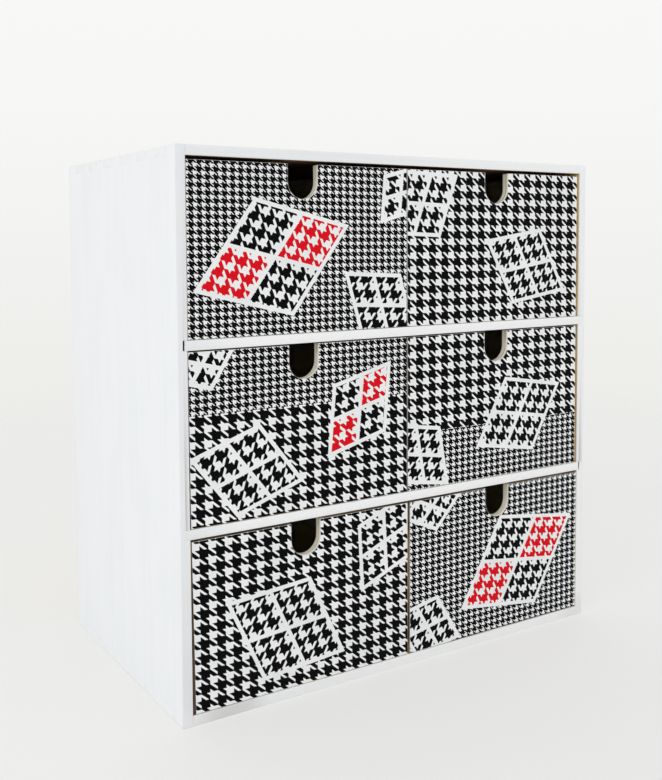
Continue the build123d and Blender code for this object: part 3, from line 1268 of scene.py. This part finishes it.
@dataclass
class PaperSheet:
    """The paper pasted on one drawer's front, trimmed by hand round its edges and its finger slot.

    Attributes:
        drawer: the drawer's name.
        seed: a number that sets its cuts and waves apart from the others'.
        askew: how far short of the board's lower left corner it is cut.
        slot_radius: radius of the slot's round end.
        slot_depth: depth of the slot.
        slot_shift: how far right of the drawer's middle the slot is.
        thickness: thickness of the sheet.
        trim: how far inside the board's edge it is cut.
        trim_wander: how far the knife strayed from that.
        trim_swing: length of the knife's swings.
        slot_share: how much of both the slot and the upper edge show.
        wave: height of the waves in it.
        wave_swing: length of those waves.
        cut_step: length of the steps of a cut.
        grid: width of the strips that let it take its waves.
        arc_steps: steps round the slot's end.
        seed_step: how far apart the seeds' places in the noise are.
        slack: a point this near the slot's cut belongs to it.
        merge: a point this near a score lies on it.
    """

    drawer: str
    seed: int
    askew: float = 0.0
    slot_radius: float = 10.0
    slot_depth: float = 20.0
    slot_shift: float = -0.7
    thickness: float = 0.3
    trim: float = 0.05
    trim_wander: float = 0.05
    trim_swing: float = 14.0
    slot_share: float = 0.6
    wave: float = 0.07
    wave_swing: float = 21.0
    cut_step: float = 3.0
    grid: float = 6.0
    arc_steps: int = 28
    seed_step: float = 7.3
    slack: float = 0.01
    merge: float = 0.0001

    def corners(self) -> tuple[Vector, Vector]:
        """Give the lowest and highest corner of the sheet."""
        return node_corners(f"{self.drawer}_paper")

    def wander(self, place: Vector, swing: float) -> float:
        """Give a smooth random number from -1 to 1 at a place, with swings of this length."""
        return noise.noise(Vector((place.x / swing, place.z / swing, self.seed * self.seed_step)))

    def outline(self) -> list[Vector]:
        """Walk round the sheet's cut edge.

        Returns:
            The points of the edge, on the face of the sheet, in millimetres.
        """
        low, high = self.corners()
        middle = (low.x + high.x) / 2 + self.slot_shift
        slot_centre = Vector((middle, low.y, high.z - self.slot_depth + self.slot_radius))
        left, right = middle - self.slot_radius, middle + self.slot_radius
        stops = [(low.x, high.z), (low.x, low.z), (high.x, low.z), (high.x, high.z), (right, high.z)]
        points = self.straight_cut(stops, low.y)
        down = self.straight_cut([(right, high.z), (right, slot_centre.z)], low.y)[1:]
        up = self.straight_cut([(left, slot_centre.z), (left, high.z), (low.x, high.z)], low.y)[:-1]
        round_cut = [
            slot_centre + self.slot_radius * Vector((math.cos(angle), 0.0, -math.sin(angle)))
            for angle in (math.pi * step / self.arc_steps for step in range(1, self.arc_steps))
        ]
        return [self.trimmed(point, slot_centre) for point in points + down + round_cut + up]

    def straight_cut(self, stops: list[Pair], y: float) -> list[Vector]:
        """Divide straight runs into short steps.

        Args:
            stops: the ends of the runs.
            y: where the face of the sheet is.

        Returns:
            The points from the first stop to the last.
        """
        points = [Vector((stops[0][0], y, stops[0][1]))]
        for stop in stops[1:]:
            start, end = points[-1], Vector((stop[0], y, stop[1]))
            steps = max(1, round((end - start).length / self.cut_step))
            points += [start.lerp(end, step / steps) for step in range(1, steps + 1)]
        return points

    def trimmed(self, point: Vector, slot_centre: Vector) -> Vector:
        """Move a point of the edge into the sheet, as far as the knife strayed.

        Args:
            point: the point on the full outline.
            slot_centre: middle of the slot's round end.

        Returns:
            The moved point.
        """
        low, high = self.corners()
        stray = self.trim + self.trim_wander * self.wander(point, self.trim_swing)
        from_slot = Vector((point.x - slot_centre.x, 0.0, min(point.z - slot_centre.z, 0.0)))
        moved = point.copy()
        if from_slot.length < self.slot_radius + self.slack:
            moved += from_slot.normalized() * stray * self.slot_share
        left_cut = stray + self.askew * (high.z - point.z) / (high.z - low.z)
        moved.x = min(max(moved.x, low.x + left_cut), high.x - stray)
        moved.z = min(max(moved.z, low.z + stray), high.z - stray * self.slot_share)
        return moved

    def build(self, material: bpy.types.Material) -> bpy.types.Object:
        """Make the sheet and hand it over to the frame.

        Args:
            material: the finish.

        Returns:
            The finished piece.
        """
        low, high = self.corners()
        shape = bmesh.new()
        shape.faces.new([shape.verts.new(point * MM) for point in self.outline()])
        for axis in (Axis.X, Axis.Z):
            self.score(shape, axis, low[axis.value], high[axis.value])
        pushed = bmesh.ops.extrude_face_region(shape, geom=list(shape.faces))["geom"]
        backs = {item for item in pushed if isinstance(item, bmesh.types.BMVert)}
        for vertex in shape.verts:
            if vertex in backs:
                vertex.co.y = high.y * MM
            else:
                ripple = 0.5 + 0.5 * self.wander(vertex.co / MM, self.wave_swing)
                vertex.co.y += self.wave * ripple * MM
        bmesh.ops.triangulate(shape, faces=[face for face in shape.faces if len(face.verts) > 4])
        bmesh.ops.recalc_face_normals(shape, faces=shape.faces)
        piece = new_piece(f"printed_{self.drawer}_paper", mesh_of(shape, f"{self.drawer}_sheet"), material)
        settle(piece, self.drawer, f"{self.drawer}_paper", "printed_paper")
        return piece

    def score(self, shape: bmesh.types.BMesh, axis: Axis, low: float, high: float) -> None:
        """Cut the flat sheet into strips, so that it can take its waves.

        Args:
            shape: the sheet.
            axis: the axis that the cuts go across.
            low: where the sheet begins along it.
            high: where it ends.
        """
        strips = round((high - low) / self.grid)
        for index in range(1, strips):
            cut_across(shape, axis, low + (high - low) * index / strips, self.merge)


@dataclass
class Drawer:
    """One loose drawer: five boards and the paper on its front.

    Attributes:
        name: the drawer's name, which is also its body's.
        number: the number of its first board.
        design: what is printed on its paper.
        arris: how far its free corners are rounded.
        plies: how many layers its boards have.
        lies: how each board lies.
    """

    name: str
    number: int
    design: FrontPrint
    arris: float = 0.3
    plies: int = 3
    lies: dict[str, Lie] = field(
        default_factory=lambda: {
            "front": Lie.WIDE_FRONT,
            "back": Lie.WIDE_FRONT,
            "left_side": Lie.LONG_SIDE,
            "right_side": Lie.LONG_SIDE,
            "floor": Lie.LEVEL_DEEP,
        }
    )

    def build(self, wood: bpy.types.Material, paper: PrintedPaper, groups: PrintGroups) -> None:
        """Make the drawer's boards and its paper.

        Args:
            wood: the finish of its boards.
            paper: the finish of its paper.
            groups: the node groups that the papers share.
        """
        for number, (part, lie) in enumerate(self.lies.items(), self.number):
            node = f"{self.name}_{part}"
            Board(node, self.name, lie, self.plies, number, "birch_plywood", wood, self.arris).build()
        sheet = PaperSheet(self.name, self.number, self.design.askew)
        sheet.build(paper.material(sheet, self.design, groups))


@dataclass
class PanelPins:
    """The pins that hold the back panel, driven in flush along the edges of the case.

    Attributes:
        along_width: pins in the rows along the top and the bottom.
        up_sides: pins in the columns up the two sides.
        corner_distance: how far the first pin of a row is from the case's corner.
        sides: faces round a pin.
        head_radius: radius of the head.
        head_height: height of the head.
        crown: how far the head's edge is rounded down.
        flat_share: the flat on the head, as a share of the head's radius.
        shank_radius: radius of the shank.
        length: length of the pin.
        point_length: length of its point.
        point_radius: radius of the point's tip.
    """

    along_width: int = 4
    up_sides: int = 3
    corner_distance: float = 20.0
    sides: int = 20
    head_radius: float = 1.1
    head_height: float = 0.6
    crown: float = 0.12
    flat_share: float = 0.55
    shank_radius: float = 0.6
    length: float = 12.0
    point_length: float = 1.6
    point_radius: float = 0.06

    def lengths(self) -> dict[str, float]:
        """Work out the lengths that the node tree takes.

        Returns:
            Each length in millimetres, by the name of its input.
        """
        low, high = node_corners("back_panel_pins")
        floor, ceiling = node_corners("bottom_board")[1].z, node_corners("top_board")[0].z
        first_up = (ceiling - floor) / (2 * self.up_sides)
        return {
            "Half width": node_corners("top_board")[1].x - self.corner_distance,
            "Low row": low.z + self.head_radius,
            "High row": high.z - self.head_radius,
            "Low pin": floor + first_up,
            "High pin": ceiling - first_up,
            "Column": high.x - self.head_radius,
            "Panel face": high.y,
            "Head radius": self.head_radius,
            "Head height": self.head_height,
            "Crown": self.crown,
            "Shank radius": self.shank_radius,
            "Length": self.length,
            "Point length": self.point_length,
            "Point radius": self.point_radius,
        }

    def tree(self) -> bpy.types.NodeTree:
        """Make the node tree that sets one pin on each place round the panel.

        Returns:
            The tree, with a named input for each size.
        """
        inputs = dict.fromkeys((*self.lengths(), "Flat share"), FLOAT)
        inputs |= dict.fromkeys(("Pins along width", "Pins up sides", "Sides"), "NodeSocketInt")
        inputs["Steel"] = "NodeSocketMaterial"
        sketch, given, result = new_group(
            "panel_pins", inputs, {"Pins": "NodeSocketGeometry"}, "GeometryNodeTree"
        )
        right, along, up = (given[name] for name in ("Half width", "Pins along width", "Pins up sides"))
        left = sketch.product(right, -1.0)
        rows = [((left, given[row]), (right, given[row]), along) for row in ("Low row", "High row")]
        for side in (-1.0, 1.0):
            column = sketch.product(given["Column"], side)
            rows.append(((column, given["Low pin"]), (column, given["High pin"]), up))
        places = sketch.add("GeometryNodeJoinGeometry")
        for *ends, count in rows:
            start, end = (sketch.join(x, given["Panel face"], z) for x, z in ends)
            values = {"Count": count, "Start Location": start, "Offset": end}
            line = sketch.add("GeometryNodeMeshLine", values, mode="END_POINTS")
            sketch.fill(places.inputs[0], line.outputs[0])
        pins = {"Points": places.outputs[0], "Instance": self.one_pin(sketch, given)}
        placed = sketch.add("GeometryNodeInstanceOnPoints", pins)
        whole = sketch.add("GeometryNodeRealizeInstances", {0: placed.outputs[0]})
        finish = {"Geometry": whole.outputs[0], "Material": given["Steel"]}
        dressed = sketch.add("GeometryNodeSetMaterial", finish)
        return sketch.give(result, {"Pins": dressed.outputs[0]})

    def one_pin(self, sketch: Sketch, given: dict[str, Socket]) -> Socket:
        """Turn one pin about its line, from the flat on its head to its point.

        Args:
            sketch: the sketch of the tree.
            given: the tree's inputs.

        Returns:
            The pin's mesh, its head at the origin and its point towards -Y.
        """
        head, shank = given["Head radius"], given["Shank radius"]
        neck = sketch.math("ADD", given["Head height"], given["Crown"])
        shoulder = sketch.minus(given["Length"], given["Point length"])
        profile = (
            (0.0, sketch.product(head, given["Flat share"])),
            (given["Crown"], head),
            (given["Head height"], head),
            (given["Head height"], shank),
            (neck, shank),
            (shoulder, shank),
            (given["Length"], given["Point radius"]),
        )
        line = sketch.add("GeometryNodeMeshLine", {"Count": len(profile)}, mode="OFFSET").outputs[0]
        depth, radius = (self.pick(sketch, values) for values in zip(*profile))
        place = sketch.join(0.0, sketch.product(depth, -1.0), 0.0)
        placed = sketch.add("GeometryNodeSetPosition", {"Geometry": line, "Position": place})
        curve = sketch.add("GeometryNodeMeshToCurve", {0: placed.outputs[0]}).outputs[0]
        ring = sketch.add("GeometryNodeCurvePrimitiveCircle", {"Resolution": given["Sides"], "Radius": 1.0})
        turned = {"Curve": curve, "Profile Curve": ring.outputs[0], "Scale": radius, "Fill Caps": True}
        return sketch.add("GeometryNodeCurveToMesh", turned).outputs[0]

    def pick(self, sketch: Sketch, values: tuple[Value, ...]) -> Socket:
        """Pick the number of each point of the pin's line by its index.

        Args:
            sketch: the sketch of the tree.
            values: the number for each point.

        Returns:
            The picked number.
        """
        switch = sketch.add("GeometryNodeIndexSwitch", data_type="FLOAT")
        while len(switch.index_switch_items) < len(values):
            switch.index_switch_items.new()
        sketch.fill(switch.inputs["Index"], sketch.add("GeometryNodeInputIndex").outputs[0])
        for place, value in enumerate(values, 1):
            sketch.fill(switch.inputs[place], value)
        return switch.outputs[0]

    def build(self, steel: bpy.types.Material) -> bpy.types.Object:
        """Grow the pins, and hand them over to the frame.

        Args:
            steel: their finish.

        Returns:
            The finished piece.
        """
        inputs = {name: length * MM for name, length in self.lengths().items()}
        inputs |= {"Flat share": self.flat_share, "Pins along width": self.along_width}
        inputs |= {"Pins up sides": self.up_sides, "Sides": self.sides, "Steel": steel}
        host = new_piece("pins_rough", bpy.data.meshes.new("pins_rough"), steel)
        growth = host.modifiers.new("pins", "NODES")
        growth.node_group = self.tree()
        for item in growth.node_group.interface.items_tree:
            if item.in_out == "INPUT":
                growth[item.identifier] = inputs[item.name]
        piece = new_piece("driven_back_panel_pins", applied_mesh(host), steel)
        settle(piece, "case", "back_panel_pins", "pin_steel")
        return piece


@dataclass
class Case:
    """The case: two sides, top, bottom, two shelves, the back panel and its pins.

    Attributes:
        board_plies: how many layers its boards have.
        panel_plies: how many layers the back panel has.
        arris: how far the free corners of its boards are rounded.
        lies: how each board lies.
    """

    board_plies: int = 5
    panel_plies: int = 3
    arris: float = 0.55
    lies: dict[str, Lie] = field(
        default_factory=lambda: {
            "left_side": Lie.UPRIGHT_SIDE,
            "right_side": Lie.UPRIGHT_SIDE,
            "top_board": Lie.LEVEL,
            "bottom_board": Lie.LEVEL,
            "upper_shelf": Lie.LEVEL,
            "lower_shelf": Lie.LEVEL,
        }
    )

    def corners(self) -> tuple[Vector, Vector]:
        """Give the lowest and highest corner of the case, in millimetres."""
        return node_corners("left_side")[0], node_corners("right_side")[1]

    def build(self, paint: bpy.types.Material, wood: bpy.types.Material, steel: bpy.types.Material) -> None:
        """Make the case.

        Args:
            paint: the finish of the painted boards.
            wood: the finish of the back panel.
            steel: the finish of the pins.
        """
        for number, (node, lie) in enumerate(self.lies.items()):
            Board(node, "case", lie, self.board_plies, number, "white_paint", paint, self.arris).build()
        Board(
            "back_panel", "case", Lie.UPRIGHT_PANEL, self.panel_plies, len(self.lies), "birch_plywood", wood
        ).build()
        PanelPins().build(steel)


@dataclass(frozen=True)
class PhotoCamera:
    """The camera, where the picture was taken from.

    Attributes:
        picture: width and height of the picture, in pixels.
        place: where the camera stands, in millimetres.
        yaw: how far it looks to the right of straight at the back, in degrees.
        pitch: how far it looks up, in degrees.
        roll: how far it leans, in degrees.
        focal: focal length, in pixels.
        axis_from_top: how far below the picture's upper edge its optical axis is, in pixels.
        sensor: width of its sensor.
        nearest: distance at which it begins to see.
    """

    picture: Pair = (662.0, 780.0)
    place: Triple = (-364.572, -572.675, 266.379)
    yaw: float = 32.486
    pitch: float = -3.572
    roll: float = -0.308
    focal: float = 973.72
    axis_from_top: float = 304.37
    sensor: float = 36.0
    nearest: float = 10.0

    def build(self) -> None:
        """Make the camera and set it as the scene's."""
        data = bpy.data.cameras.new("photo_camera")
        long_side = max(self.picture)
        data.sensor_width = self.sensor
        data.lens = self.focal * self.sensor / long_side
        data.shift_y = (self.axis_from_top - self.picture[1] / 2) / long_side
        data.clip_start = self.nearest * MM
        camera = bpy.data.objects.new("photo_camera", data)
        yaw, pitch = math.radians(self.yaw), math.radians(self.pitch)
        forward = Vector((math.sin(yaw) * math.cos(pitch), math.cos(yaw) * math.cos(pitch), math.sin(pitch)))
        level_right = Vector((math.cos(yaw), -math.sin(yaw), 0.0))
        right = Matrix.Rotation(-math.radians(self.roll), 3, forward) @ level_right
        turn = Matrix((right, right.cross(forward), -forward)).transposed()
        camera.matrix_world = Matrix.Translation(Vector(self.place) * MM) @ turn.to_4x4()
        bpy.context.scene.collection.objects.link(camera)
        bpy.context.scene.camera = camera


@dataclass(frozen=True)
class Lamp:
    """One large soft lamp.

    Attributes:
        name: its name.
        place: where its middle is, in metres.
        size: width of its square face, in metres.
        power: its power in watts.
    """

    name: str
    place: Triple
    size: float
    power: float

    def build(self, target: Vector) -> None:
        """Make the lamp.

        Args:
            target: what it faces, in metres.
        """
        data = bpy.data.lights.new(self.name, "AREA")
        data.size = self.size
        data.energy = self.power
        lamp = bpy.data.objects.new(self.name, data)
        lamp.location = self.place
        lamp.rotation_euler = (target - Vector(self.place)).to_track_quat("-Z", "Y").to_euler()
        bpy.context.scene.collection.objects.link(lamp)


@dataclass(frozen=True)
class Studio:
    """A plain pale floor that fades into a plain pale backdrop, under soft light. Lengths are in metres.

    Attributes:
        floor: colour of the floor.
        floor_shaded: its colour in soft patches.
        floor_tones: those patches.
        floor_tooth: its fine roughness.
        tooth_depth: depth of that roughness, in millimetres.
        floor_gloss: roughness of its shine, in the floor's colour and in the patches.
        floor_glow: pale tone that the floor also shows to the eye, which softens the shadow on it.
        glow_share: share of that tone in the floor.
        floor_radius: radius of the floor.
        floor_sides: straight stretches of its rim.
        fade: distances from the middle between which the floor fades away.
        backdrop: colour of what is behind everything.
        backdrop_low: its colour low down.
        horizon: heights in the backdrop between which its colour changes.
        daylight: colour of the light that comes from all round.
        daylight_strength: its strength.
        lamps: the lamps.
    """

    floor: Shade = Shade(245, 245, 244)
    floor_shaded: Shade = Shade(242, 242, 241)
    floor_tones: Layer = Layer((0.35, 0.35, 0.35))
    floor_tooth: Layer = Layer((0.002, 0.002, 0.002))
    tooth_depth: float = 0.02
    floor_gloss: Pair = (0.6, 0.7)
    floor_glow: Shade = Shade(235, 235, 233)
    glow_share: float = 0.6
    floor_radius: float = 2.0
    floor_sides: int = 96
    fade: Pair = (0.3, 1.5)
    backdrop: Shade = Shade(248, 248, 247)
    backdrop_low: Shade = Shade(236, 237, 233)
    horizon: Pair = (-0.25, 0.25)
    daylight: Shade = Shade(255, 255, 255)
    daylight_strength: float = 0.855
    lamps: tuple[Lamp, ...] = (Lamp("key_lamp", (-1.8, -1.0, 1.6), 1.6, 11.5),)

    def build(self) -> None:
        """Make the floor, the backdrop, the lamps and the plain view settings."""
        bpy.context.scene.view_settings.view_transform = "Standard"
        self.build_floor()
        self.build_world()
        target = (cad_box[0] + cad_box[1]) / 2
        for lamp in self.lamps:
            lamp.build(target)

    def build_floor(self) -> None:
        """Make the floor, a disc that fades away towards its rim."""
        shape = bmesh.new()
        bmesh.ops.create_circle(shape, cap_ends=True, segments=self.floor_sides, radius=self.floor_radius)
        sketch, material = new_material("studio_floor")
        place = sketch.add("ShaderNodeTexCoord").outputs["Object"]
        tones = sketch.patches(place, self.floor_tones)
        values = {
            "Base Color": sketch.blend(tones, self.floor, self.floor_shaded),
            "Roughness": sketch.mix(tones, *self.floor_gloss),
            "Normal": sketch.bump(sketch.cloud(place, self.floor_tooth), self.tooth_depth),
        }
        shader = sketch.add("ShaderNodeBsdfPrincipled", values).outputs[0]
        glow = sketch.add("ShaderNodeEmission", {"Color": self.floor_glow}).outputs[0]
        glow_share = sketch.product(sketch.seen_directly(), self.glow_share)
        shaded = sketch.add("ShaderNodeMixShader", {0: glow_share, 1: shader, 2: glow}).outputs[0]
        clear = sketch.add("ShaderNodeBsdfTransparent").outputs[0]
        faded = sketch.rise(sketch.vector("LENGTH", place), *self.fade)
        mixed = sketch.add("ShaderNodeMixShader", {0: faded, 1: shaded, 2: clear})
        sketch.add("ShaderNodeOutputMaterial", {"Surface": mixed.outputs[0]})
        new_piece("studio_floor", mesh_of(shape, "studio_floor"), material)

    def build_world(self) -> None:
        """Make the light from all round, with the backdrop for what sees it directly."""
        world = bpy.data.worlds.new("studio_world")
        bpy.context.scene.world = world
        world.use_nodes = True
        sketch = Sketch(world.node_tree)
        daylight = {"Color": self.daylight, "Strength": self.daylight_strength}
        light = sketch.add("ShaderNodeBackground", daylight).outputs[0]
        upward = sketch.split(sketch.add("ShaderNodeTexCoord").outputs["Generated"])[2]
        colour = sketch.blend(sketch.rise(upward, *self.horizon), self.backdrop_low, self.backdrop)
        view = sketch.add("ShaderNodeBackground", {"Color": colour, "Strength": 1.0}).outputs[0]
        mixed = sketch.add("ShaderNodeMixShader", {0: sketch.seen_directly(), 1: light, 2: view})
        sketch.add("ShaderNodeOutputWorld", {"Surface": mixed.outputs[0]})


# What is printed on each front, places measured from the paper's lower left corner
DESIGNS = {
    "top_left_drawer": FrontPrint(
        checks=(Check(FINE, (1.6, 1.5)),),
        tiles=(
            HarlequinTile((128.0, 14.0), (34.0, 24.0), -38.0),
            HarlequinTile((54.0, 44.0), (54.0, 36.0), 20.0, red=True),
            HarlequinTile((143.0, 82.0), (24.0, 17.0), 50.0),
        ),
    ),
    "top_right_drawer": FrontPrint(
        checks=(Check(COARSE, (7.0, 3.3), turned=True),),
        tiles=(
            HarlequinTile((100.0, 36.0), (40.0, 28.0), -26.0),
            HarlequinTile((12.0, 76.0), (34.0, 25.0), 34.0),
        ),
    ),
    "middle_left_drawer": FrontPrint(
        checks=(Check(COARSE, (3.6, 5.3)), Check(FINE, (3.7, 0.4), from_height=62.0)),
        tiles=(
            HarlequinTile((36.0, 28.0), (38.0, 27.0), -16.0),
            HarlequinTile((112.0, 56.0), (36.0, 25.0), 50.0, red=True),
            HarlequinTile((8.0, 90.0), (22.0, 16.0), 22.0),
        ),
        askew=0.35,
    ),
    "middle_right_drawer": FrontPrint(
        checks=(
            Check(FINE, (3.0, 0.8), turned=True),
            Check(COARSE, (6.8, 2.4), turned=True, from_height=36.0),
        ),
        tiles=(
            HarlequinTile((94.0, 40.0), (42.0, 29.0), 26.0),
            HarlequinTile((10.0, 22.0), (32.0, 23.0), -44.0),
        ),
    ),
    "bottom_left_drawer": FrontPrint(
        checks=(Check(COARSE, (4.7, 2.1)),),
        tiles=(
            HarlequinTile((130.0, 76.0), (34.0, 24.0), 58.0),
            HarlequinTile((60.0, 36.0), (46.0, 32.0), -30.0),
        ),
        askew=1.3,
    ),
    "bottom_right_drawer": FrontPrint(
        checks=(Check(FINE, (1.9, 2.8), turned=True),),
        tiles=(
            HarlequinTile((14.0, 14.0), (30.0, 21.0), -24.0),
            HarlequinTile((92.0, 44.0), (56.0, 37.0), 26.0, red=True),
            HarlequinTile((18.0, 92.0), (24.0, 17.0), 12.0),
        ),
    ),
}

# Board numbers: the case's start at 0, and each drawer takes its own from here on
FIRST_DRAWER_NUMBER = 10
NUMBERS_PER_DRAWER = 6


def main() -> None:
    """Build the studio, the case and the six drawers."""
    logging.basicConfig(level=logging.INFO, format="%(message)s")
    Studio().build()
    PhotoCamera().build()

    birch = BirchPlywood()
    surface = birch.surface(node_corners("top_left_drawer_paper")[1].y)
    wood = birch.material(surface)
    case = Case()
    case.build(WhitePaint().material(surface, case.corners()), wood, PinSteel().material())

    houndstooth = make_houndstooth()
    groups = PrintGroups(houndstooth, make_tile_group(houndstooth))
    for place, (name, design) in enumerate(DESIGNS.items()):
        number = FIRST_DRAWER_NUMBER + NUMBERS_PER_DRAWER * place
        Drawer(name, number, design).build(wood, PrintedPaper(), groups)


if __name__ == "__main__":
    main()
